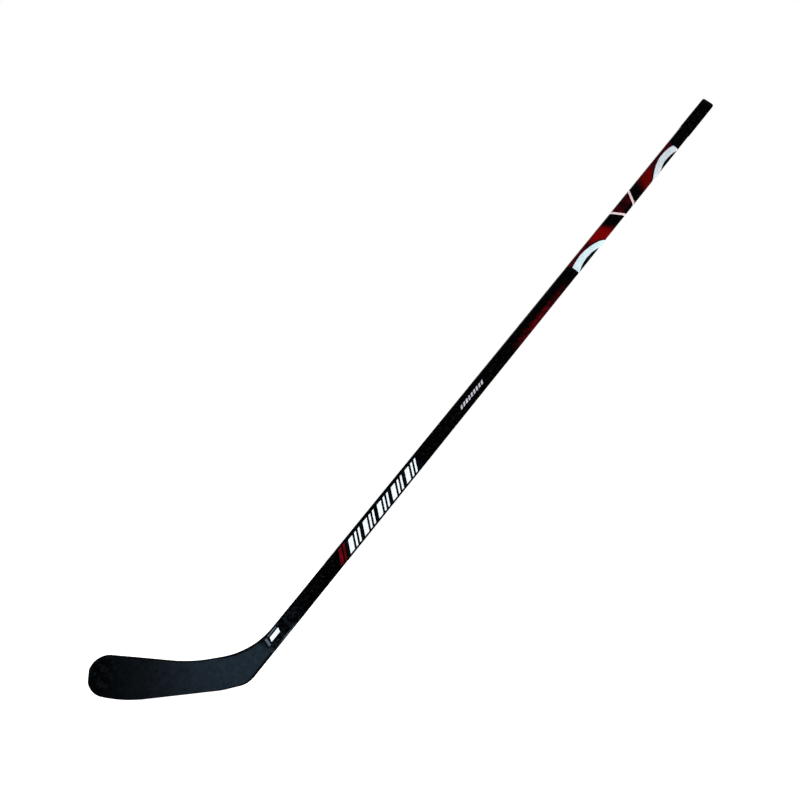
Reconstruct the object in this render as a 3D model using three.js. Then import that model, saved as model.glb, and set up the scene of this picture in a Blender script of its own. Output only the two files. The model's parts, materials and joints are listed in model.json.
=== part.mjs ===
// Composite ice hockey stick. Units are millimetres and +Z is up.
//
// The stick stands as it is played. The sole of the blade lies on Z = 0, the toe points to -X and
// the shaft rises towards +X and +Z. The wide faces of the shaft look along -Y (front) and +Y
// (back). The origin is the middle of the level strip of the sole.

import * as THREE from 'three';

// Shaft
const SHAFT_ELEVATION = THREE.MathUtils.degToRad(45);
const AXIS_FOOT_X = 57.5;
const SHAFT_START = 135;
const SHAFT_END = 1608;
const SHAFT_WIDTH_START = 31.4;
const SHAFT_WIDTH_END = 27.4;
const SHAFT_THICKNESS = 19.5;
const SHAFT_CORNER = 4.5;
const SHAFT_WALL = 2;

// Fit between neighbouring pieces
const GAP = 0.3;

// Joint between the hosel and the shaft
const WRAP_START = 92;
const WRAP_END = 190;
const WRAP_RECESS = 0.75;
const TENON_START = 96;
const TENON_END = 206;
const TENON_BOND = 0.5;
const FOAM_STOP_LENGTH = 24;

// Butt end
const PLUG_FLANGE = 6;
const PLUG_TANG = 58;
const PLUG_TANG_WALL = 2.4;
const PLUG_RIB = 0.35;
const SLEEVE_START = 1522;
const SLEEVE_WALL = 0.6;

// Blade outline: corners of the side view as [x, z, fillet radius]
const TOE_X = -199;
const TOE_Z = 45.5;
const BLADE_CURVE_DEPTH = 14;
const BLADE_CURVE_START_X = 10;
const TOE_HALF = 2.8;
const HEEL_HALF = 4.1;
const SKIN = 0.9;
const RAIL = 5.5;
const STRINGER = 2;
const BLADE_CORNER = 2.3;
const SEAM_OFFSET = 0.5;

// Stations along the blade's spine, measured from the toe tip
const TOE_INSERT_END = 26;
const HOSEL_MOULD_START = 196;

const COLOURS = {
  carbonGloss: '#0b0c0e',
  carbonRaw: '#17181a',
  bladeSlate: '#262d36',
  foam: '#d9c48c',
  denseFoam: '#b58a4e',
  resin: '#c9b27a',
  rubber: '#111213',
  plug: '#1a1a1c',
  print: '#16171a',
  label: '#e8ecee',
};

function material(name, colour, roughness, metalness = 0) {
  return new THREE.MeshStandardMaterial({ name, color: colour, roughness, metalness });
}

// ---------------------------------------------------------------------------------------------
// Curves in the plane of the stick. A point is a Vector2 holding x and z.

// A polyline through the corners, each rounded by its own radius.
function filletPath(corners, arcStep = THREE.MathUtils.degToRad(1)) {
  const points = [new THREE.Vector2(corners[0][0], corners[0][1])];
  for (let i = 1; i < corners.length - 1; i += 1) {
    const corner = new THREE.Vector2(corners[i][0], corners[i][1]);
    const before = new THREE.Vector2(corners[i - 1][0], corners[i - 1][1]).sub(corner).normalize();
    const after = new THREE.Vector2(corners[i + 1][0], corners[i + 1][1]).sub(corner).normalize();
    const radius = corners[i][2];
    const halfOpening = Math.acos(THREE.MathUtils.clamp(before.dot(after), -1, 1)) / 2;
    const bisector = before.clone().add(after).normalize();
    const centre = corner.clone().addScaledVector(bisector, radius / Math.sin(halfOpening));
    const start = corner.clone().addScaledVector(before, radius / Math.tan(halfOpening)).sub(centre);
    const turn = Math.PI - 2 * halfOpening;
    const side = -Math.sign(before.cross(after));
    const steps = Math.max(2, Math.ceil(turn / arcStep));
    for (let k = 0; k <= steps; k += 1) {
      const arm = start.clone().rotateAround(new THREE.Vector2(), side * turn * (k / steps));
      points.push(centre.clone().add(arm));
    }
  }
  const last = corners[corners.length - 1];
  points.push(new THREE.Vector2(last[0], last[1]));
  return points;
}

// The shaft's side view frame: u along the axis from the ice, w across it towards the heel side.
function shaftPlane(u, w) {
  const cos = Math.cos(SHAFT_ELEVATION);
  const sin = Math.sin(SHAFT_ELEVATION);
  return new THREE.Vector2(AXIS_FOOT_X + u * cos + w * sin, u * sin - w * cos);
}

function shaftWidth(u) {
  return THREE.MathUtils.mapLinear(u, SHAFT_START, SHAFT_END, SHAFT_WIDTH_START, SHAFT_WIDTH_END);
}

// The shaft's two edges and its axis, carried on past the hosel so that every outline ends on them.
const HALF_WIDTH = SHAFT_WIDTH_START / 2;
const OUTLINE_END = 260;
const onUpperEdge = (u) => shaftPlane(u, -HALF_WIDTH).toArray();
const onLowerEdge = (u) => shaftPlane(u, HALF_WIDTH).toArray();

const TOP_EDGE = filletPath([
  [TOE_X, TOE_Z],
  [TOE_X, 91.3, 32.3],
  [-20.5, 54, 277],
  [...onUpperEdge(69.3), 149],
  onUpperEdge(OUTLINE_END),
]);

const BOTTOM_EDGE = filletPath([
  [TOE_X, TOE_Z],
  [TOE_X, 21.6, 34.5],
  [-138, 0.9, 230],
  [-32, 0, 1200],
  [36, 0, 166],
  [...onLowerEdge(24.2), 44],
  onLowerEdge(OUTLINE_END),
]);

const SPINE = filletPath([
  [TOE_X, TOE_Z],
  [...shaftPlane(29.4, 0).toArray(), 100],
  shaftPlane(OUTLINE_END, 0).toArray(),
], THREE.MathUtils.degToRad(0.1));

// The point and direction of the spine at a distance from the toe.
function spineAt(distance) {
  let left = distance;
  for (let i = 1; i < SPINE.length; i += 1) {
    const step = SPINE[i].clone().sub(SPINE[i - 1]);
    const length = step.length();
    if (left <= length || i === SPINE.length - 1) {
      const direction = step.normalize();
      return { point: SPINE[i - 1].clone().addScaledVector(direction, left), direction };
    }
    left -= length;
  }
  return null;
}

// Where an edge first passes the line across the spine at a station.
function edgeCrossing(edge, station) {
  const ahead = (p) => p.clone().sub(station.point).dot(station.direction);
  for (let i = 1; i < edge.length; i += 1) {
    const a = ahead(edge[i - 1]);
    const b = ahead(edge[i]);
    if (a <= 0 && b > 0) {
      return edge[i - 1].clone().lerp(edge[i], -a / (b - a));
    }
  }
  return edge[edge.length - 1].clone();
}

// ---------------------------------------------------------------------------------------------
// Cross-sections. A section lies across the stick, from its low edge to its high edge, with a half
// thickness, a corner radius and a sideways offset.

function spineDistanceAt(u) {
  const target = shaftPlane(u, 0);
  let low = 0;
  let high = 600;
  for (let i = 0; i < 40; i += 1) {
    const middle = (low + high) / 2;
    const { point, direction } = spineAt(middle);
    if (target.clone().sub(point).dot(direction) > 0) low = middle;
    else high = middle;
  }
  return low;
}

const WRAP_STATION = spineDistanceAt(WRAP_START);
const SEAM_STATION = spineDistanceAt(SHAFT_START) - GAP;

function bladeSection(distance) {
  const station = spineAt(distance);
  const low = edgeCrossing(BOTTOM_EDGE, station);
  const high = edgeCrossing(TOP_EDGE, station);
  const neck = THREE.MathUtils.smootherstep(distance, HOSEL_MOULD_START, WRAP_STATION);
  const taper = Math.min(1, distance / HOSEL_MOULD_START);
  const bladeHalf = THREE.MathUtils.lerp(TOE_HALF, HEEL_HALF, taper);
  const beforeTip = Math.max(0, 1 - distance / BLADE_CORNER);
  const tipRounding = Math.sqrt(1 - beforeTip * beforeTip);
  const half = THREE.MathUtils.lerp(bladeHalf * tipRounding, SHAFT_THICKNESS / 2, neck);
  const corner = THREE.MathUtils.lerp(BLADE_CORNER, SHAFT_CORNER, neck);
  const span = BLADE_CURVE_START_X - TOE_X;
  const beyond = Math.max(0, BLADE_CURVE_START_X - station.point.x) / span;
  return { low, high, half, corner, offset: -BLADE_CURVE_DEPTH * beyond * beyond };
}

function shaftSection(u) {
  const halfWidth = shaftWidth(u) / 2;
  return {
    low: shaftPlane(u, halfWidth),
    high: shaftPlane(u, -halfWidth),
    half: SHAFT_THICKNESS / 2,
    corner: SHAFT_CORNER,
    offset: 0,
  };
}

// One point of a section: q across the stick from the low edge, y through its thickness.
function sectionPoint(section, q, y) {
  const width = section.high.distanceTo(section.low);
  const p = section.low.clone().lerp(section.high, q / width);
  return new THREE.Vector3(p.x, section.offset + y, p.y);
}

// The corner radius at an inset, small enough to leave a flat strip for the seam on both edges.
function cornerRadius(section, inset) {
  const flatStrip = SEAM_OFFSET + GAP + 0.1;
  return Math.max(0.3, Math.min(section.corner - inset, section.half - inset - flatStrip));
}

// Half of a rounded rectangle, from the low edge round one face to the high edge.
// side is -1 for the front face and +1 for the back; edgeY is where it stops on both edges.
function faceLoop(section, inset, side, edgeY, cornerSteps = 3, faceSteps = 2) {
  const width = section.high.distanceTo(section.low);
  const half = section.half - inset;
  const radius = cornerRadius(section, inset);
  const loop = [[inset, edgeY]];
  for (let k = 0; k <= cornerSteps; k += 1) {
    const angle = (k / cornerSteps) * (Math.PI / 2);
    loop.push([
      inset + radius - radius * Math.cos(angle),
      side * (half - radius + radius * Math.sin(angle)),
    ]);
  }
  const flat = width - 2 * inset - 2 * radius;
  for (let k = 1; k < faceSteps; k += 1) {
    loop.push([inset + radius + flat * (k / faceSteps), side * half]);
  }
  for (let k = 0; k <= cornerSteps; k += 1) {
    const angle = (1 - k / cornerSteps) * (Math.PI / 2);
    loop.push([
      width - inset - radius + radius * Math.cos(angle),
      side * (half - radius + radius * Math.sin(angle)),
    ]);
  }
  loop.push([width - inset, edgeY]);
  return loop.map(([q, y]) => sectionPoint(section, q, y));
}

// A whole rounded rectangle as a closed ring.
function ring(section, inset, cornerSteps = 3, faceSteps = 2) {
  const front = faceLoop(section, inset, -1, 0, cornerSteps, faceSteps);
  const back = faceLoop(section, inset, 1, 0, cornerSteps, faceSteps);
  return [...front, ...back.slice(1, -1).reverse()];
}

// A rectangle from q = from to q = to, filling the section to the given inset of both faces.
function block(section, inset, from, to) {
  const half = section.half - inset;
  return [
    sectionPoint(section, from, -half),
    sectionPoint(section, to, -half),
    sectionPoint(section, to, half),
    sectionPoint(section, from, half),
  ];
}

// A D-shaped strip filling one edge of the section: rounded outside, straight inside.
function edgeStrip(section, inset, atHighEdge) {
  const width = section.high.distanceTo(section.low);
  const flip = (q) => (atHighEdge ? width - q : q);
  const half = section.half - inset;
  const radius = cornerRadius(section, inset);
  const strip = [[inset + RAIL, half], [inset + radius, half]];
  for (let k = 1; k <= 2; k += 1) {
    const angle = (1 - k / 2) * (Math.PI / 2);
    strip.push([inset + radius - radius * Math.cos(angle), half - radius + radius * Math.sin(angle)]);
  }
  const mirrored = strip.map(([q, y]) => [q, -y]).reverse();
  return [...strip, ...mirrored].map(([q, y]) => sectionPoint(section, flip(q), y));
}

// ---------------------------------------------------------------------------------------------
// Closed bodies

// Turns quads and triangles into a geometry whose faces point outwards.
function closedGeometry(points, faces) {
  const triangles = [];
  for (const face of faces) {
    for (let k = 2; k < face.length; k += 1) triangles.push([face[0], face[k - 1], face[k]]);
  }
  let volume = 0;
  for (const [a, b, c] of triangles) {
    volume += points[a].dot(points[b].clone().cross(points[c]));
  }
  const index = triangles.flatMap(([a, b, c]) => (volume < 0 ? [a, c, b] : [a, b, c]));
  const geometry = new THREE.BufferGeometry();
  const positions = points.flatMap((p) => p.toArray());
  geometry.setAttribute('position', new THREE.Float32BufferAttribute(positions, 3));
  geometry.setIndex(index);
  geometry.computeVertexNormals();
  return geometry;
}

// A solid through a row of closed rings, with a flat cap on each end.
function solidLoft(rings) {
  const count = rings[0].length;
  const faces = [];
  for (let i = 0; i + 1 < rings.length; i += 1) {
    for (let j = 0; j < count; j += 1) {
      const next = (j + 1) % count;
      faces.push([i * count + j, i * count + next, (i + 1) * count + next, (i + 1) * count + j]);
    }
  }
  const last = (rings.length - 1) * count;
  faces.push(Array.from({ length: count }, (_, j) => count - 1 - j));
  faces.push(Array.from({ length: count }, (_, j) => last + j));
  return closedGeometry(rings.flat(), faces);
}

// A tube between two rows of rings, open at both ends.
function tubeLoft(outer, inner) {
  const rings = [...outer, ...inner.slice().reverse()];
  const count = rings[0].length;
  const faces = [];
  for (let i = 0; i < rings.length; i += 1) {
    const after = (i + 1) % rings.length;
    for (let j = 0; j < count; j += 1) {
      const next = (j + 1) % count;
      faces.push([i * count + j, i * count + next, after * count + next, after * count + j]);
    }
  }
  return closedGeometry(rings.flat(), faces);
}

// A thick sheet between two open grids of the same size.
function sheetLoft(outer, inner) {
  const rows = outer.length;
  const count = outer[0].length;
  const at = (layer, i, j) => layer * rows * count + i * count + j;
  const faces = [];
  for (let i = 0; i + 1 < rows; i += 1) {
    for (let j = 0; j + 1 < count; j += 1) {
      faces.push([at(0, i, j), at(0, i, j + 1), at(0, i + 1, j + 1), at(0, i + 1, j)]);
      faces.push([at(1, i, j), at(1, i + 1, j), at(1, i + 1, j + 1), at(1, i, j + 1)]);
    }
    const end = count - 1;
    faces.push([at(0, i, 0), at(0, i + 1, 0), at(1, i + 1, 0), at(1, i, 0)]);
    faces.push([at(0, i, end), at(1, i, end), at(1, i + 1, end), at(0, i + 1, end)]);
  }
  const last = rows - 1;
  for (let j = 0; j + 1 < count; j += 1) {
    faces.push([at(0, 0, j), at(1, 0, j), at(1, 0, j + 1), at(0, 0, j + 1)]);
    faces.push([at(0, last, j), at(0, last, j + 1), at(1, last, j + 1), at(1, last, j)]);
  }
  return closedGeometry([...outer.flat(), ...inner.flat()], faces);
}

// ---------------------------------------------------------------------------------------------
// Pieces of the blade and hosel

// Evenly spaced values from start to end, both included.
function spread(start, end, count) {
  return Array.from({ length: count }, (_, i) => THREE.MathUtils.lerp(start, end, i / (count - 1)));
}

// The stations that the skins share with the rails, cores and stringer inside them.
const FACE_STATIONS = spread(TOE_INSERT_END + GAP, 236, 15);
const BEND_STATIONS = spread(248, WRAP_STATION - GAP, 9);
const CORE_STATIONS = [...FACE_STATIONS, ...BEND_STATIONS.slice(0, 2)];
const HEEL_STATIONS = [BEND_STATIONS[1] + GAP, ...BEND_STATIONS.slice(2)];

// One carbon skin: a thin shell over one face that turns in over both edges to the seam. It runs
// from the toe tip to the hosel's seam, and steps in where the joint wrap covers it.
function bladeSkin(side) {
  const edgeY = side < 0 ? SEAM_OFFSET : SEAM_OFFSET + GAP;
  const toe = [0.3, 1.2, 3, 6, 11, 18];
  const outer = [];
  const inner = [];
  const addRow = (distance, inset, deeper = 0) => {
    outer.push(faceLoop(bladeSection(distance), inset, side, edgeY));
    inner.push(faceLoop(bladeSection(distance + deeper), inset + SKIN, side, edgeY));
  };
  toe.forEach((distance) => addRow(distance, 0, SKIN));
  [...FACE_STATIONS, ...BEND_STATIONS].forEach((distance) => addRow(distance, 0));
  addRow(WRAP_STATION + 0.1, WRAP_RECESS);
  spread(WRAP_STATION + 8, SEAM_STATION, 4).forEach((distance) => addRow(distance, WRAP_RECESS));
  return sheetLoft(outer, inner);
}

// The same section, shorter by a margin at both edges.
function trimmed(section, margin) {
  const across = section.high.clone().sub(section.low).normalize();
  const low = section.low.clone().addScaledVector(across, margin);
  const high = section.high.clone().addScaledVector(across, -margin);
  return { ...section, low, high };
}

// The solid tip between the skins.
function toeInsert() {
  return solidLoft([5, 8, 12, 17, 22, TOE_INSERT_END].map((d) => {
    const margin = 1.5 * (1 - d / TOE_INSERT_END);
    return ring(trimmed(bladeSection(d), margin), SKIN + GAP);
  }));
}

function edgeRail(atHighEdge) {
  const stations = [...FACE_STATIONS, ...BEND_STATIONS];
  return solidLoft(stations.map((d) => edgeStrip(bladeSection(d), SKIN + GAP, atHighEdge)));
}

function sectionWidth(section) {
  return section.high.distanceTo(section.low);
}

// Foam on one side of the stringer.
function foamCore(atHighEdge) {
  const inset = SKIN + GAP;
  const edge = inset + RAIL + GAP;
  return solidLoft(CORE_STATIONS.map((d) => {
    const section = bladeSection(d);
    const width = sectionWidth(section);
    const middle = width / 2;
    const clear = STRINGER / 2 + GAP;
    return atHighEdge
      ? block(section, inset, middle + clear, width - edge)
      : block(section, inset, edge, middle - clear);
  }));
}

function midStringer() {
  return solidLoft(CORE_STATIONS.map((d) => {
    const section = bladeSection(d);
    const middle = sectionWidth(section) / 2;
    return block(section, SKIN + GAP, middle - STRINGER / 2, middle + STRINGER / 2);
  }));
}

// Dense block that fills the bend between the two rails, up to the tenon.
function heelInsert() {
  const inset = SKIN + GAP;
  const edge = inset + RAIL + GAP;
  return solidLoft(HEEL_STATIONS.map((d) => {
    const section = bladeSection(d);
    return block(section, inset, edge, sectionWidth(section) - edge);
  }));
}

// ---------------------------------------------------------------------------------------------
// Pieces of the joint

// The hollow tenon: a full-size shoulder inside the hosel, then a slimmer spigot in the shaft.
function hoselTenon() {
  const shoulder = WRAP_RECESS + SKIN + GAP;
  const spigot = SHAFT_WALL + GAP + TENON_BOND + GAP;
  const bore = spigot + SHAFT_WALL;
  const outer = [
    ring(shaftSection(TENON_START), shoulder),
    ring(shaftSection(SHAFT_START - GAP), shoulder),
    ring(shaftSection(SHAFT_START - GAP), spigot),
    ring(shaftSection(TENON_END - 3), spigot),
    ring(shaftSection(TENON_END), spigot + 0.8),
  ];
  const inner = [
    ring(shaftSection(TENON_START), bore),
    ring(shaftSection(TENON_END), bore),
  ];
  return tubeLoft(outer, inner);
}

// Foam inside the tenon, which keeps its walls from buckling.
function tenonCore() {
  const inset = SHAFT_WALL + GAP + TENON_BOND + GAP + SHAFT_WALL + GAP;
  return solidLoft([TENON_START, TENON_END - 1].map((u) => ring(shaftSection(u), inset)));
}

// The layer of set adhesive between the tenon and the wall of the shaft.
function adhesiveSleeve() {
  const outside = SHAFT_WALL + GAP;
  const stations = [SHAFT_START + 3, TENON_END - 4];
  return tubeLoft(
    stations.map((u) => ring(shaftSection(u), outside)),
    stations.map((u) => ring(shaftSection(u), outside + TENON_BOND)),
  );
}

// The carbon sleeve over the seam. It lies flush in the recess of the hosel and the shaft.
function jointWrap() {
  const sections = [
    ...spread(WRAP_STATION + GAP + 0.1, SEAM_STATION, 6).map(bladeSection),
    ...spread(SHAFT_START + 8, WRAP_END, 4).map(shaftSection),
  ];
  return tubeLoft(
    sections.map((section) => ring(section, 0)),
    sections.map((section) => ring(section, WRAP_RECESS - GAP)),
  );
}

// Foam plug in the shaft just above the tenon. It kept the adhesive from running up the tube.
function foamStop() {
  const start = TENON_END + 4;
  const inset = SHAFT_WALL + GAP;
  return solidLoft([start, start + FOAM_STOP_LENGTH].map((u) => ring(shaftSection(u), inset)));
}

// ---------------------------------------------------------------------------------------------
// Pieces of the shaft and butt end

function shaftTube() {
  const ledge = WRAP_END + GAP;
  const stations = [ledge + 0.1, 400, 800, 1200, SHAFT_END];
  const outer = [
    ring(shaftSection(SHAFT_START), WRAP_RECESS),
    ring(shaftSection(ledge), WRAP_RECESS),
    ...stations.map((u) => ring(shaftSection(u), 0)),
  ];
  const inner = [SHAFT_START, ...stations].map((u) => ring(shaftSection(u), SHAFT_WALL));
  return tubeLoft(outer, inner);
}

function gripEndSleeve() {
  const stations = [SLEEVE_START, SHAFT_END];
  return tubeLoft(
    stations.map((u) => ring(shaftSection(u), -GAP - SLEEVE_WALL)),
    stations.map((u) => ring(shaftSection(u), -GAP)),
  );
}

// A flange over the end of the shaft and a hollow tang with crush ribs inside it.
function buttPlug() {
  const fit = SHAFT_WALL + GAP;
  const root = fit + PLUG_RIB;
  const flangeBase = SHAFT_END + GAP;
  const flangeTop = flangeBase + PLUG_FLANGE;
  const tangEnd = flangeBase - PLUG_TANG;
  const hollow = root + PLUG_TANG_WALL;
  const flange = -GAP - SLEEVE_WALL;
  const at = (u, inset) => ring(shaftSection(u), inset);
  const rings = [at(flangeBase - 4, hollow), at(tangEnd, hollow)];
  rings.push(at(tangEnd, root + 0.8), at(tangEnd + 3, root));
  const ribPitch = 11;
  for (let u = tangEnd + 7; u < flangeBase - ribPitch / 2; u += ribPitch) {
    rings.push(at(u, root), at(u + 0.6, fit), at(u + 3.4, fit), at(u + 4, root));
  }
  rings.push(at(flangeBase, root), at(flangeBase, flange), at(flangeTop - 1.6, flange));
  rings.push(at(flangeTop - 0.5, flange + 0.5), at(flangeTop, flange + 1.7));
  return solidLoft(rings);
}

// ---------------------------------------------------------------------------------------------
// Printed films and the label, all on the front face

// A film over the front face that turns part of the way round both corners.
function frontFilm(start, end) {
  const film = 0.15;
  const stations = [start, end].map(shaftSection);
  const overFace = (section, inset) => faceLoop(section, inset, -1, 0, 3, 2).slice(2, -2);
  return sheetLoft(
    stations.map((section) => overFace(section, -GAP - film)),
    stations.map((section) => overFace(section, -GAP)),
  );
}

// A flat sticker on the joint wrap.
function hoselLabel() {
  const thickness = 0.2;
  const layer = (y) => [98, 128].map((u) => [-9, 3].map((w) => {
    const p = shaftPlane(u, w);
    return new THREE.Vector3(p.x, -SHAFT_THICKNESS / 2 - y, p.y);
  }));
  return sheetLoft(layer(GAP + thickness), layer(GAP));
}

// ---------------------------------------------------------------------------------------------
// Assembly

const finish = {
  gloss: material('carbon_gloss', COLOURS.carbonGloss, 0.2),
  raw: material('carbon_raw', COLOURS.carbonRaw, 0.5),
  slate: material('blade_slate', COLOURS.bladeSlate, 0.55),
  foam: material('foam', COLOURS.foam, 0.9),
  dense: material('dense_foam', COLOURS.denseFoam, 0.85),
  resin: material('resin', COLOURS.resin, 0.4),
  rubber: material('rubber', COLOURS.rubber, 0.8),
  plug: material('plug', COLOURS.plug, 0.6),
  print: material('print', COLOURS.print, 0.3),
  label: material('label', COLOURS.label, 0.35),
};

function add(parent, name, geometry, finishing) {
  const mesh = new THREE.Mesh(geometry, finishing);
  mesh.name = name;
  parent.add(mesh);
}

const blade = new THREE.Group();
add(blade, 'blade_front_skin', bladeSkin(-1), finish.slate);
add(blade, 'blade_back_skin', bladeSkin(1), finish.slate);
add(blade, 'toe_insert', toeInsert(), finish.dense);
add(blade, 'top_edge_rail', edgeRail(true), finish.raw);
add(blade, 'bottom_edge_rail', edgeRail(false), finish.raw);
add(blade, 'upper_foam_core', foamCore(true), finish.foam);
add(blade, 'lower_foam_core', foamCore(false), finish.foam);
add(blade, 'mid_stringer', midStringer(), finish.raw);
add(blade, 'heel_insert', heelInsert(), finish.dense);

const joint = new THREE.Group();
add(joint, 'hosel_tenon', hoselTenon(), finish.raw);
add(joint, 'tenon_core', tenonCore(), finish.foam);
add(joint, 'adhesive_sleeve', adhesiveSleeve(), finish.resin);
add(joint, 'joint_wrap', jointWrap(), finish.gloss);
add(joint, 'hosel_label', hoselLabel(), finish.label);

const shaft = new THREE.Group();
add(shaft, 'shaft_tube', shaftTube(), finish.gloss);
add(shaft, 'foam_stop', foamStop(), finish.foam);
add(shaft, 'lower_graphic_film', frontFilm(280, 552), finish.print);
add(shaft, 'mid_graphic_film', frontFilm(664, 750), finish.print);
add(shaft, 'upper_graphic_film', frontFilm(806, 1470), finish.print);
add(shaft, 'grip_end_sleeve', gripEndSleeve(), finish.rubber);

const buttEnd = new THREE.Group();
add(buttEnd, 'butt_plug', buttPlug(), finish.plug);

const stick = new THREE.Group();
stick.name = 'ice_hockey_stick';
stick.add(blade, joint, shaft, buttEnd);

export default stick;
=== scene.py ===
import json
import math
from collections import Counter

import bmesh
import bpy
import numpy as np
from mathutils import Matrix, Vector


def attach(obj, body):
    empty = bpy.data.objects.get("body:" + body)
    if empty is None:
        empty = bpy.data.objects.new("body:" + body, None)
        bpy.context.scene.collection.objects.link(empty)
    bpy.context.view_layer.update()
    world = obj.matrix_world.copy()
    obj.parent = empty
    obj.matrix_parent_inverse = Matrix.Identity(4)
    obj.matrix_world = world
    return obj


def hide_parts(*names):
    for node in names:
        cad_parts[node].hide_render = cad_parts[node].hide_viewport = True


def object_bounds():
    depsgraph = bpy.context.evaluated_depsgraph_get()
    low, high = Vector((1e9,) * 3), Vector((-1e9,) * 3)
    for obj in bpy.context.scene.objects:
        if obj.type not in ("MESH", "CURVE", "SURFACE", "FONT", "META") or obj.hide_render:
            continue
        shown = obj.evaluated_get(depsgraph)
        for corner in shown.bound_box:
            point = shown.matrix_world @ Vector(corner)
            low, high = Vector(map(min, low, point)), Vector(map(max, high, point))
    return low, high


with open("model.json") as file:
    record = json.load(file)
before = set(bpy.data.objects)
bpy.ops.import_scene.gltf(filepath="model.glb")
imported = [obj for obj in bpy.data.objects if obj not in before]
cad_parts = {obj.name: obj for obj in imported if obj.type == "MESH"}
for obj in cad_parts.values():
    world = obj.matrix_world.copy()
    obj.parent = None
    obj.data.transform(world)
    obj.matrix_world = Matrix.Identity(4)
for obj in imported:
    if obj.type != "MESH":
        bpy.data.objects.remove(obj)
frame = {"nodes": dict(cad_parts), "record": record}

# The looks of a composite ice hockey stick. Shapes are worked out in millimetres, in the frame of
# the CAD: +X runs from the toe to the heel, +Z is up, and the front face looks along -Y.

cad_low, cad_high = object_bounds()
MOUNTS = {mount["name"]: mount for mount in frame["record"]["mounts"]}
STICK = "stick"
BUTT_END = "butt_end"
MM = 0.001

# ----------------------------------------------------------
# Sizes, in millimetres

SHAFT_START = 135.0
SHAFT_END = 1608.0
SHAFT_WIDTH_START = 31.4
SHAFT_WIDTH_END = 27.4
SHAFT_HALF_THICKNESS = 9.75
SHAFT_CORNER = 4.5
SHAFT_WALL = 2.0
GAP = 0.3

WRAP_START = 92.0
WRAP_END = 190.0
WRAP_RECESS = 0.75
WRAP_PROUD = 0.12
WRAP_SEAT = 0.55
WRAP_EDGE = 0.2

SLEEVE_START = 1522.0
SLEEVE_INNER = 0.3
SLEEVE_OUTER = 0.9

PLUG_BASE = SHAFT_END + GAP
PLUG_FLANGE = 6.0
PLUG_EDGE = 0.4
PLUG_TANG = 58.0
PLUG_TANG_WALL = 2.4
PLUG_FIT = SHAFT_WALL + GAP
PLUG_RIB = 0.35
PLUG_RIB_PITCH = 11.0

TOE_X = -199.0
TOE_Z = 45.5
TOE_HALF = 2.8
HEEL_HALF = 4.1
BLADE_CORNER = 2.3
BLADE_SKIN = 0.9
BLADE_CURVE_DEPTH = 14.0
BLADE_CURVE_START_X = 10.0
HOSEL_MOULD_START = 196.0
OUTLINE_END = 260.0
SEAM_Y = 0.65
SEAM_CHAMFER = 0.12
SEAM_HALF_GAP = 0.02
SEAM_CLEARANCE = 0.25
LEAST_HALF = 0.05
LEAST_CORNER = 0.3

FILM_LIFT = 0.03
FILM_LEVEL = 0.07
FILM_THICKNESS = 0.05
LABEL_THICKNESS = 0.06

# How finely the meshes are divided
CORNER_STEPS = 8
BLADE_FACE_STEPS = 10
TUBE_FACE_STEPS = 6
FIRST_FACE_STEP = 0.4
TOE_ROWS = [0.04, 0.12, 0.25, 0.45, 0.7, 1.0, 1.4, 1.9, 2.5, 3.5, 5, 7, 9.5, 12.5, 16, 20]
BLADE_ROW_START = 24.0
BLADE_ROW_STEP = 3.0
FILM_STEP = 1.5
STRIPE_POINTS = 6
SHARP_EDGE_DEGREES = 32.0

# ----------------------------------------------------------
# The plane of the stick. A point holds x and z.

grip_place = Vector(MOUNTS["hand_grip"]["pos_m"]) / MM
grip_axis = Vector(MOUNTS["hand_grip"]["axis"]).normalized()
AXIS_FOOT = np.array([grip_place.x - grip_place.z * grip_axis.x / grip_axis.z, 0.0])
ALONG = np.array([grip_axis.x, grip_axis.z])
ACROSS = np.array([grip_axis.z, -grip_axis.x])


def shaft_plane(u, w):
    """A point u along the shaft's axis from the ice and w across it, towards the heel side."""
    return AXIS_FOOT + u * ALONG + w * ACROSS


def shaft_width(u):
    share = (u - SHAFT_START) / (SHAFT_END - SHAFT_START)
    return SHAFT_WIDTH_START + (SHAFT_WIDTH_END - SHAFT_WIDTH_START) * share


def fillet_path(corners, arc_step=0.25):
    """A polyline through the corners [x, z, radius], each rounded by its own radius."""
    points = [np.array(corners[0][:2])]
    for before, corner, after in zip(corners, corners[1:], corners[2:]):
        place = np.array(corner[:2])
        back = np.array(before[:2]) - place
        ahead = np.array(after[:2]) - place
        back /= np.linalg.norm(back)
        ahead /= np.linalg.norm(ahead)
        half_opening = math.acos(np.clip(back @ ahead, -1, 1)) / 2
        bisector = back + ahead
        bisector /= np.linalg.norm(bisector)
        centre = place + bisector * corner[2] / math.sin(half_opening)
        arm = place + back * corner[2] / math.tan(half_opening) - centre
        turn = math.pi - 2 * half_opening
        side = -math.copysign(1, back[0] * ahead[1] - back[1] * ahead[0])
        steps = max(2, math.ceil(math.degrees(turn) / arc_step))
        for step in range(steps + 1):
            angle = side * turn * step / steps
            cos, sin = math.cos(angle), math.sin(angle)
            turned = [arm[0] * cos - arm[1] * sin, arm[0] * sin + arm[1] * cos]
            points.append(centre + np.array(turned))
    points.append(np.array(corners[-1][:2]))
    return np.array(points)


def on_edge(u, side):
    return list(shaft_plane(u, side * SHAFT_WIDTH_START / 2))


TOP_EDGE = fillet_path([
    [TOE_X, TOE_Z],
    [TOE_X, 91.3, 32.3],
    [-20.5, 54.0, 277.0],
    [*on_edge(69.3, -1), 149.0],
    on_edge(OUTLINE_END, -1),
])

BOTTOM_EDGE = fillet_path([
    [TOE_X, TOE_Z],
    [TOE_X, 21.6, 34.5],
    [-138.0, 0.9, 230.0],
    [-32.0, 0.0, 1200.0],
    [36.0, 0.0, 166.0],
    [*on_edge(24.2, 1), 44.0],
    on_edge(OUTLINE_END, 1),
])

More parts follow.
